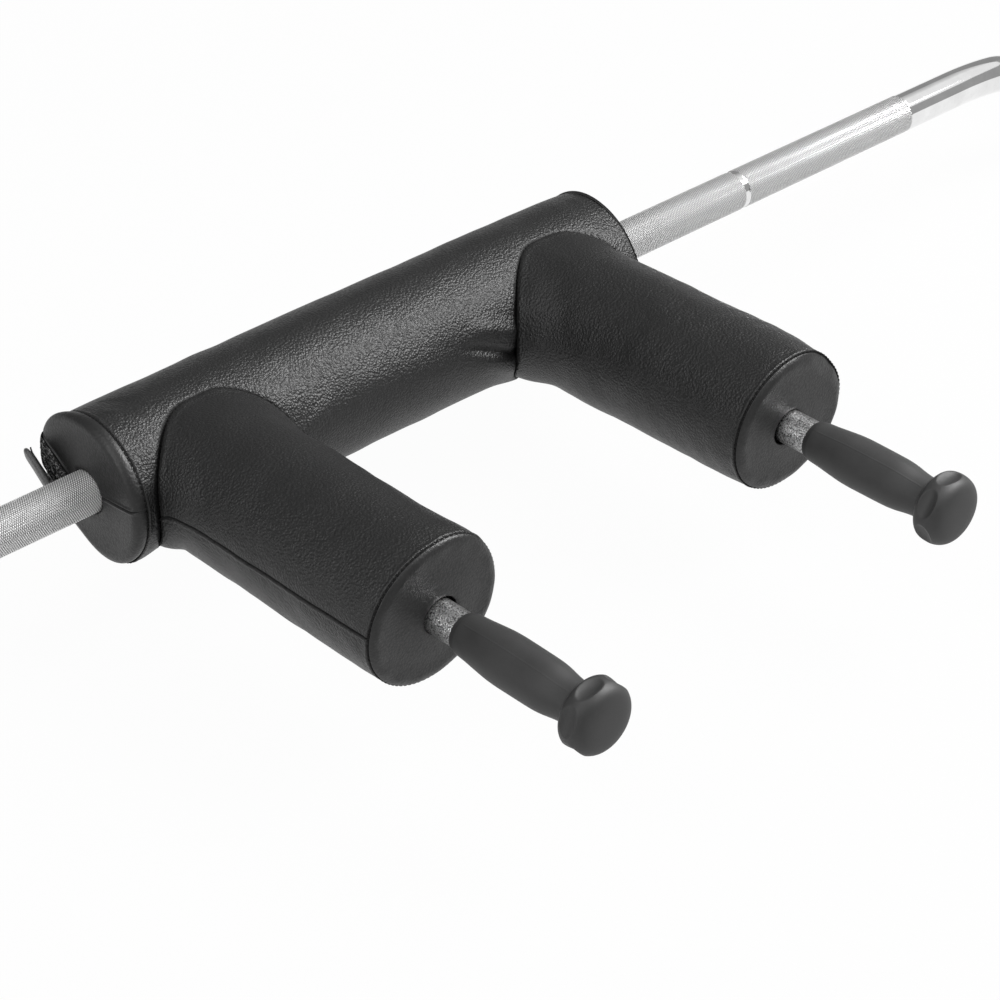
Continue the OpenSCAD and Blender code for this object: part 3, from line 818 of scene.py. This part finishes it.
def pad_end(word, side):
    turn = graded((-180, -166, 0.6), (-166, -2, 2.0), (-2, 18, 0.5), (18, 150, 2.0), (150, 180, 0.6))
    turn = np.radians(turn[:-1])
    r, h = shoulder_line(PAD_R - PAD_CROWN - 0.2, PAD_DOME, *pad_shoulder(side, turn))
    hole = SHAFT_R + 0.5
    r, h = face_rows(r, h, hole, 26, 0.8, (0.6, 4))
    h = h + 0.7 * bell(r - 20, 5) - 0.4 * bell(r - 36, 8) + 0.3 * bell(r - 40, 14) * np.sin(3 * turn + 1.2)
    tilt = off_angle(turn, 0) - (8.2 + 4.8 * bell(r - 17, 9))
    d = np.radians(tilt) * r
    inside = ease((r - hole) / 3)
    h = h + inside * (0.75 * bell(d + 1.3, 1.0) + 0.6 * bell(d - 1.5, 1.1) - 0.9 * bell(d, 0.6))
    # The mark "seam" paints shade into the rim's seam, the forward seam and the slit.
    seam = 1.8 * bell(h, 0.6) * (r > 50) + inside * bell(d, 0.5) * 0.9
    y, z = -r * np.cos(turn), r * np.sin(turn)
    s = y * math.cos(SLIT_A) + z * math.sin(SLIT_A)
    t = -y * math.sin(SLIT_A) + z * math.cos(SLIT_A) - SLIT_T
    slit = bell(t, 0.8 + 2.2 * bell(s - 18, 9)) * (s > 0)
    h = h - 2.2 * slit
    seam = seam + slit
    outer = xyz(side * (PAD_SEAM + h), y, z)
    back = outer[::-1].copy()
    back[..., 0] = side * (PAD_SEAM + np.clip(h - 1.6, -3.0, 5.0))[::-1]
    back[..., 1:] *= 0.985
    piece = shell(word + "_end", np.concatenate([outer, back]), leather_end, slot="leatherette",
                  mark=("seam", seam))
    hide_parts(word + "_end_panel")


for word, side in SIDES:
    pad_end(word, side)

# %% [markdown]
# ## Stitches
# A lockstitch shows as short dashes that dip into the leather at both ends. One dash is worked out once, and
# every seam places copies of it along its path.

# %% Stitches along a path
def dash():
    """A rounded dash along X, 1 long and 1 thick, as points and faces: rings of six and two tips."""
    along = np.array([-0.48, -0.40, -0.14, 0.14, 0.40, 0.48])
    thick = np.array([0.30, 0.47, 0.5, 0.5, 0.47, 0.30])
    rings = about_x(along[:, None], thick[:, None], circle(6)) * [1, -1, 1]
    points = np.vstack([rings.reshape(-1, 3), [[-0.5, 0, 0], [0.5, 0, 0]]])
    return points, shell_faces(6, 6, False), tip_faces(6, 6)


def lengths(path):
    """How far along a path each of its points lies."""
    return np.concatenate([[0], np.cumsum(np.linalg.norm(np.diff(path, axis=0), axis=1))])


def walk(path, reach, at):
    """Points at distances along a path, by straight interpolation of each coordinate."""
    return np.stack([np.interp(at, reach, values) for values in path.T], -1)


def stitches(name, path, normal, pitch=4.2, gap=0.45, thick=1.25, dip=0.3, lift=0.1, body="bar"):
    """Dashes along a path. A dash lies along it and bends down into the surface at both its ends."""
    points0, quads0, tips0 = dash()
    reach = lengths(path)
    n = round(reach[-1] / pitch)
    at = (np.arange(n) + 0.5) * reach[-1] / n
    ahead = unit(walk(path, reach, at + 0.4) - walk(path, reach, at - 0.4))
    across = unit(np.cross(walk(normal, reach, at), ahead))
    up = np.cross(ahead, across)
    local = points0 * [reach[-1] / n - gap, thick, thick]
    local[:, 2] += lift - dip * (2 * points0[:, 0]) ** 2
    laid = walk(path, reach, at)[:, None] + np.einsum("pk,knc->npc", local, np.stack([ahead, across, up]))
    first = np.arange(n)[:, None, None] * len(points0)
    faces = [(quads0[None] + first).reshape(-1, 4), (tips0[None] + first).reshape(-1, 3)]
    piece_from(name, laid.reshape(-1, 3), faces, thread, body=body, slot="leatherette", smooth=0)

# %% The seams' paths
# One full turn in steps of a degree, with its end on its start.
ROUND = np.linspace(0, 2 * np.pi, 361)


def pad_end_seam(side):
    r, _ = pad_radius(np.full_like(ROUND, side * (PAD_SEAM - 1.6)), ROUND)
    path = about_x(side * (PAD_SEAM + 0.1), r - 0.85, ROUND)
    return path, path * [0, 1, 1]


def arm_end_seam(side):
    r = 54.4 + arm_rim(side, ROUND)
    path = arm_pad_point(side, ARM_END + END_TILT * (ARM_END_UP + r * np.sin(ROUND)) + 0.1, r, ROUND)
    return path, (path - path.mean(0)) * [1, 0, 1]


def saddle_seam(side):
    path = arm_pad_surface(side, np.full((1, 361), 0.3), ROUND[None])[0][0]
    out = unit(path - [side * ARM_X, 0, 0])
    return path + out * 0.5, out


def long_seam(side):
    s = np.linspace(2, 216, 215)[:, None]
    path = arm_pad_surface(side, s, np.full((215, 1), np.pi))[0][:, 0]
    path = path[path[:, 1] > -ARM_END + 1.5]
    out = (path - [side * ARM_X, 0, 0]) * [1, 0, 1]
    return path + 0.25 * unit(out), out


for word, side in SIDES:
    stitches(word + "_pad_end_stitches", *pad_end_seam(side))
    stitches(word + "_arm_end_stitches", *arm_end_seam(side))
    stitches(word + "_saddle_stitches", *saddle_seam(side), thick=1.3)
    stitches(word + "_arm_long_stitches", *long_seam(side))

# %% [markdown]
# ## Closures
# The arms are welded on, so the covers have to open: each end panel is slit and closed by a small flap, and
# the main cover by a long one behind. Loop tape is sewn to the cover and hook tape to the flap. The end flaps
# stand open, as in the picture. Each is leatherette folded double, so its section is a rounded bar, thicker
# at the fold.

# %% Closures at the ends: their frame
FACE_X = PAD_SEAM + PAD_DOME
HINGE_T, HINGE_O = -34.0, 3.0
OPEN_A = math.radians(24)
LOOP_T, LOOP_HALF = -20.6, 10.2
HOOK_W, HOOK_HALF = 10.5, 7.4


def on_face(side, s, t, o):
    """A point on an end face: s along the slit, t across it, o out of the pad."""
    y = s * math.cos(SLIT_A) - t * math.sin(SLIT_A)
    z = s * math.sin(SLIT_A) + t * math.cos(SLIT_A)
    return xyz(side * (FACE_X + o), y, z)


def on_flap(side, s, w, v):
    """A point on an open end flap: s along the hinge, w across the flap from it, v out of the flap."""
    t = HINGE_T + w * math.cos(OPEN_A) - v * math.sin(OPEN_A)
    o = HINGE_O + w * math.sin(OPEN_A) + v * math.cos(OPEN_A)
    return on_face(side, s, t, o)


def plate_section(count, power):
    """A rounded bar's outline from -1 to 1 both ways: x = sgn(cos a) |cos a|^p and the same of the sine."""
    return [np.sign(c) * np.abs(c) ** power for c in (np.cos(circle(count)), np.sin(circle(count)))]


def rounded(t, power, least=0.0):
    """sqrt(1 - t^p): 1 in the middle, and falling ever faster towards -1 and 1."""
    return np.sqrt(np.clip(1 - t ** power, least, 1))

# %% Closures at the ends: loop tape, flap and hook tape
def end_loop_tape(word, side):
    """Loop tape on the panel, from the hole to where the shoulder turns, with a tangled face."""
    s = graded((18, 57.5, 0.45))
    section_t, section_o = plate_section(72, 0.35)
    s, t = np.meshgrid(s, LOOP_T + LOOP_HALF * section_t, indexing="ij")
    _, y, z = np.moveaxis(on_face(side, s, t, 0 * s), -1, 0)
    base = face_height(side, np.hypot(y, z), np.arctan2(z, -y)) - PAD_DOME
    rng = np.random.default_rng(21 + side)
    tangle = 0.4 * rng.uniform(0, 1, s.shape) ** 2 * (section_o > 0.2)
    grid = on_face(side, s, t, base + 0.65 + section_o * 0.4 * rounded((s - 37.7) / 19.9, 8, 0.02) + tangle)
    piece = shell(word + "_loop_fabric", grid, tape, ring=False, slot="tape", smooth=0)
    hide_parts(word + "_loop_tape")


def end_flap(word, side):
    """Section: a bar 5 to 6 mm thick, the doubled leather with its filler; its corners are cut round."""
    s = graded((16, 20, 0.4), (20, 48, 1.5), (48, 53.4, 0.3))[:, None]
    across, up = plate_section(64, 0.6)
    tip = rounded(np.clip((s - 48) / 5.42, 0, 1), 2)
    root = rounded(np.clip((20 - s) / 4.02, 0, 1), 2)
    stout = 2.9 - 0.5 * ease((s - 20) / 30)
    far = 24.0 - 7.0 * (1 - tip) - 4.0 * (1 - root)
    w = -2.4 + (far + 2.4) * (across + 1) / 2
    fold = bell(w, 3.2)
    thick = (stout + 0.3 * fold) * rounded(2 * (s - 34.7) / 37.42, 12)
    v = 2.2 * (1 - fold) + up * thick + 0.5 * np.sin(s / 9.0) * w / 24
    grid = on_flap(side, s, w, v)
    # The flap wears the lighter leatherette with its painted sheen.
    piece = shell(word + "_closure_flap", grid, flap_painted_sheen, ring=False, body=word + "_closure", slot="leatherette")
    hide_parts(word + "_flap")


def end_hook_tape(word, side):
    """Hook tape under the flap; its free end has come loose and curls away from the flap."""
    s = graded((18, 54, 0.6))[:, None]
    across, up = plate_section(56, 0.35)
    curl = -1.4 * np.clip((s - 46) / 8, 0, 1) ** 2
    w = HOOK_W + HOOK_HALF * across * rounded((s - 36) / 18.02, 8, 0.02)
    rough = 0.25 * np.random.default_rng(31 + side).uniform(0, 1, w.shape) * (up < -0.2)
    v = -0.7 + 0.45 * up - rough + curl
    grid = on_flap(side, s, w, v)
    piece = shell(word + "_hook_fabric", grid, tape, ring=False, body=word + "_closure", slot="tape", smooth=0)
    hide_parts(word + "_hook_tape")


for word, side in SIDES:
    end_loop_tape(word, side)
    end_flap(word, side)
    end_hook_tape(word, side)

# %% Closure behind the main pad
def back_wave(x, angle):
    """How unevenly the long flap lies: two sines along it, the longer one shifted across the flap."""
    return 0.25 * np.sin(x / 21.0 + 2 * angle) + 0.15 * np.sin(x / 8.3)


def back_strip(name, node, radius, thick, low, high, half, material, slot, body, ruffle, smooth=40):
    """A strip bent round the shaft's axis: a rounded bar laid on an arc from low to high degrees."""
    xs = graded((-half, -half + 3, 0.6), (-half + 3, half - 3, 2.5), (half - 3, half, 0.6))[:, None]
    across, up = plate_section(64, 0.4)
    ends = rounded(xs / (half + 0.01), 60, 0.02)
    a = np.radians((low + high) / 2 + (high - low) / 2 * across) + 0 * xs
    uneven = back_wave(xs, a)
    if ruffle:
        uneven = ruffle * np.random.default_rng(len(name)).uniform(0, 1, a.shape) * (up > 0.2)
    r = radius + thick / 2 + up * thick / 2 * ends + uneven
    grid = xyz(xs, r * np.cos(a), r * np.sin(a))
    piece = shell(name, grid, material, ring=False, slot=slot, body=body, smooth=smooth)
    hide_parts(node)


back_strip("back_loop_fabric", "back_loop_tape", 56.0, 1.3, -1, 15.4, 230, tape, "tape", "bar", 0.3, 0)
back_strip("back_hook_fabric", "back_hook_tape", 57.9, 1.0, -1, 15.4, 229, tape, "tape", "back_closure", 0.2, 0)
back_strip("back_closure_flap", "back_flap", 59.1, 1.8, -18.4, 16.6, 230, leather, "leatherette",
           "back_closure", 0)
x = np.linspace(-226, 226, 453)
for word, a in (("low", -13.0), ("high", 14.2)):
    angle = math.radians(a)
    r = 61.0 + back_wave(x, angle)
    path = xyz(x, r * math.cos(angle), r * math.sin(angle))
    stitches("back_flap_" + word + "_stitches", path, path * [0, 1, 1], pitch=4.5, gap=0.9, thick=0.8,
             lift=-0.1, body="back_closure")

# %% [markdown]
# ## Grips
# Each grip is one moulding: a barrel that swells under the palm, a neck, and a knob with six thumb hollows.
# Its profile was read off the picture. A hollow is what an egg-shaped cutter leaves: the smaller of the
# knob's radius and the cutter's near side, with the edge between them softened.

# %% Grips
GRIP_Y = 295.5
HOLLOW_REACH, CUTTER_R, HOLLOW_U, KNOB_EDGE = 40.8, 18.0, 119.0, 0.5
BORE_R, BORE_END = TUBE_R + 0.06, 118.5
PARTING_LINES = (119, 299)
GRIP_PROFILE = np.array([
    (0.0, 13.3), (0.3, 13.8), (0.9, 14.1), (1.5, 13.9), (2.1, 14.2), (3.0, 14.6), (4.5, 15.0), (9.5, 15.4),
    (14.5, 15.8), (19.5, 16.4), (24.5, 16.95), (29.5, 17.5), (34.5, 18.0), (39.5, 18.2), (44.5, 18.35),
    (49.5, 18.3), (64.5, 18.2), (74.5, 18.05), (79.5, 17.75), (84.5, 17.15), (89.5, 16.25), (94.5, 15.4),
    (99.5, 14.95), (103.5, 14.8), (105.2, 15.1), (106.4, 16.6), (107.6, 19.6), (109.2, 22.8), (111.4, 24.9),
    (114.5, 25.8), (118.5, 26.1), (122.5, 25.7), (125.8, 24.3), (128.2, 22.4), (130.0, 19.6), (131.2, 15.6),
    (131.9, 10.5), (132.2, 5.0), (132.25, 0.5)])


def about_arm(side, u, r, angle):
    """Points at radius r round an arm, at u beyond the grip's inner end."""
    return xyz(side * ARM_X + r * np.cos(angle), -GRIP_Y - u, r * np.sin(angle))


def smooth_line(points, count):
    """The profile, resampled evenly by length after three rounds of corner cutting, which rounds it softly."""
    for _ in range(3):
        a, b = points[:-1], points[1:]
        cut = np.stack([0.75 * a + 0.25 * b, 0.25 * a + 0.75 * b], 1).reshape(-1, 2)
        points = np.vstack([points[:1], cut, points[-1:]])
    reach = lengths(points)
    weight = np.interp(reach, [0, 8, 96, 108, reach[-1]], [2.2, 0.6, 0.6, 2.2, 2.2])
    load = np.concatenate([[0], np.cumsum(np.diff(reach) * weight[1:])])
    return walk(points, reach, np.interp(np.linspace(0, load[-1], count), load, reach))


def grip(word, side, hollow_turn):
    """Radius = soft minimum of profile and R cos a - sqrt(S^2 - (1.3 du)^2 - (0.84 R sin a)^2) in a hollow."""
    line = smooth_line(GRIP_PROFILE, 190)
    u, a = line[:, :1], circle(288)
    r = line[:, 1:] + 0 * a
    off = (a - math.radians(hollow_turn) + np.pi / 6) % (np.pi / 3) - np.pi / 6
    room = CUTTER_R ** 2 - (1.3 * (u - HOLLOW_U)) ** 2 - (0.84 * HOLLOW_REACH * np.sin(off)) ** 2
    hollow = np.where(room > 0, HOLLOW_REACH * np.cos(off) - np.sqrt(np.maximum(room, 0)), 99.0)
    gap = np.clip((r - hollow) / KNOB_EDGE, -1, 1)
    cut = np.where(gap >= 1, hollow, r - KNOB_EDGE * 0.25 * (gap + 1) ** 2)
    r = np.where((u > 108) & (u < 131) & (r > 12), np.minimum(r, cut), r)
    along = ease((u - 3) / 6) * ease((106 - u) / 6)
    for parting in PARTING_LINES:
        r = r + 0.22 * bell(np.radians(off_angle(a, parting)) * r, 0.45) * along
    inner = np.array([(BORE_END, 0.4), (BORE_END, BORE_R), (0.5, BORE_R), (0.1, TUBE_R + 0.3)])
    grid = np.concatenate([about_arm(side, inner[:, :1], inner[:, 1:], a), about_arm(side, u, r, a)])
    piece = shell(word + "_grip_rubber", grid, rubber, ring=False, slot="grip_rubber")
    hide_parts(word + "_grip")


grip("left", -1, 43)
grip("right", 1, 28)

# %% [markdown]
# ## Floor and light
# A white floor and room give the metal something bright to reflect. A large soft lamp in front on the right
# and a smaller one on the left light the object. With each goes a card that only reflections show, for the
# leather's grainy highlights. The collars touch the floor.

# %% The floor
FLOOR_SIZE, FLOOR_HEIGHT, SEEN_WHITE = 14.0, -0.1152, 0.97
# White as the camera, mirrors and glass see it, and a plain pale surface to all other light.
f = Finish("backdrop")
white = f.node("ShaderNodeEmission", {}, (1, 1, 1, 1), 1.0)
plain = f.node("ShaderNodeBsdfDiffuse", {}, (*grey(0.86), 1))
share = (f.ray("Camera") * SEEN_WHITE + f.ray("Glossy") + f.ray("Transmission")).clamped()
f.node("ShaderNodeOutputMaterial", {}, f.node("ShaderNodeMixShader", {}, share, plain, white))
mesh = bpy.data.meshes.new("floor")
corners = [(x * FLOOR_SIZE, y * FLOOR_SIZE, FLOOR_HEIGHT) for x, y in ((-1, -1), (1, -1), (1, 1), (-1, 1))]
mesh.from_pydata(corners, [], [(0, 1, 2, 3)])
mesh.materials.append(f.owner)
piece = bpy.data.objects.new("floor", mesh)
bpy.context.scene.collection.objects.link(piece)

# %% Lamps
def lamp(name, way, distance, width, depth, power, sheen_only=False):
    """A soft lamp in a direction from the pads. A sheen-only one is a card that only reflections show."""
    place = Vector(way).normalized() * distance
    data = bpy.data.lights.new(name, "AREA")
    data.shape = "RECTANGLE"
    data.size = width
    data.size_y = depth
    data.energy = power
    lit = bpy.data.objects.new(name, data)
    lit.visible_diffuse = not sheen_only
    stand(lit, place, -place)


lamp("key_light", (0.57, -0.42, 0.70), 2.4, 1.4, 1.2, 34)
lamp("left_light", (-0.62, -0.12, 0.78), 2.4, 0.9, 0.9, 12)
lamp("sheen_card", (0.57, -0.44, 0.69), 2.35, 0.9, 0.9, 70, sheen_only=True)
lamp("left_sheen_card", (-0.95, -0.02, 0.34), 2.4, 0.5, 0.5, 14, sheen_only=True)

# %% World
BEHIND = (0.0, 0.95, 0.30)
ROOM_LIGHT, MIRROR_LIGHT, SHADE_BEHIND, SKIRTING_SHADE = 0.30, 0.95, 0.62, 0.62
# White to the camera, even and dim as light, and in mirrors darker behind and along a low skirting.
f = Finish("world", bpy.data.worlds, "Generated")
behind, height = [f.node("ShaderNodeVectorMath", {"operation": "DOT_PRODUCT"}, f.place, way, output="Value")
                  for way in (BEHIND, (0, 0, 1))]
skirting = height.math("COMPARE", 0.25, 0.26)
mirrored = (MIRROR_LIGHT - (behind * 2.6 - 0.85).clamped() * SHADE_BEHIND) * (1 - skirting * SKIRTING_SHADE)
strength = (f.ray("Glossy") * mirrored).math("MAXIMUM", ROOM_LIGHT).math("MAXIMUM", f.ray("Camera"))
f.node("ShaderNodeOutputWorld", {}, f.node("ShaderNodeBackground", {}, (1, 1, 1, 1), strength))
bpy.context.scene.world = f.owner
bpy.context.scene.view_settings.view_transform = "Standard"
print("world:", bpy.context.scene.world.name, "lamps:", len(bpy.data.lights))
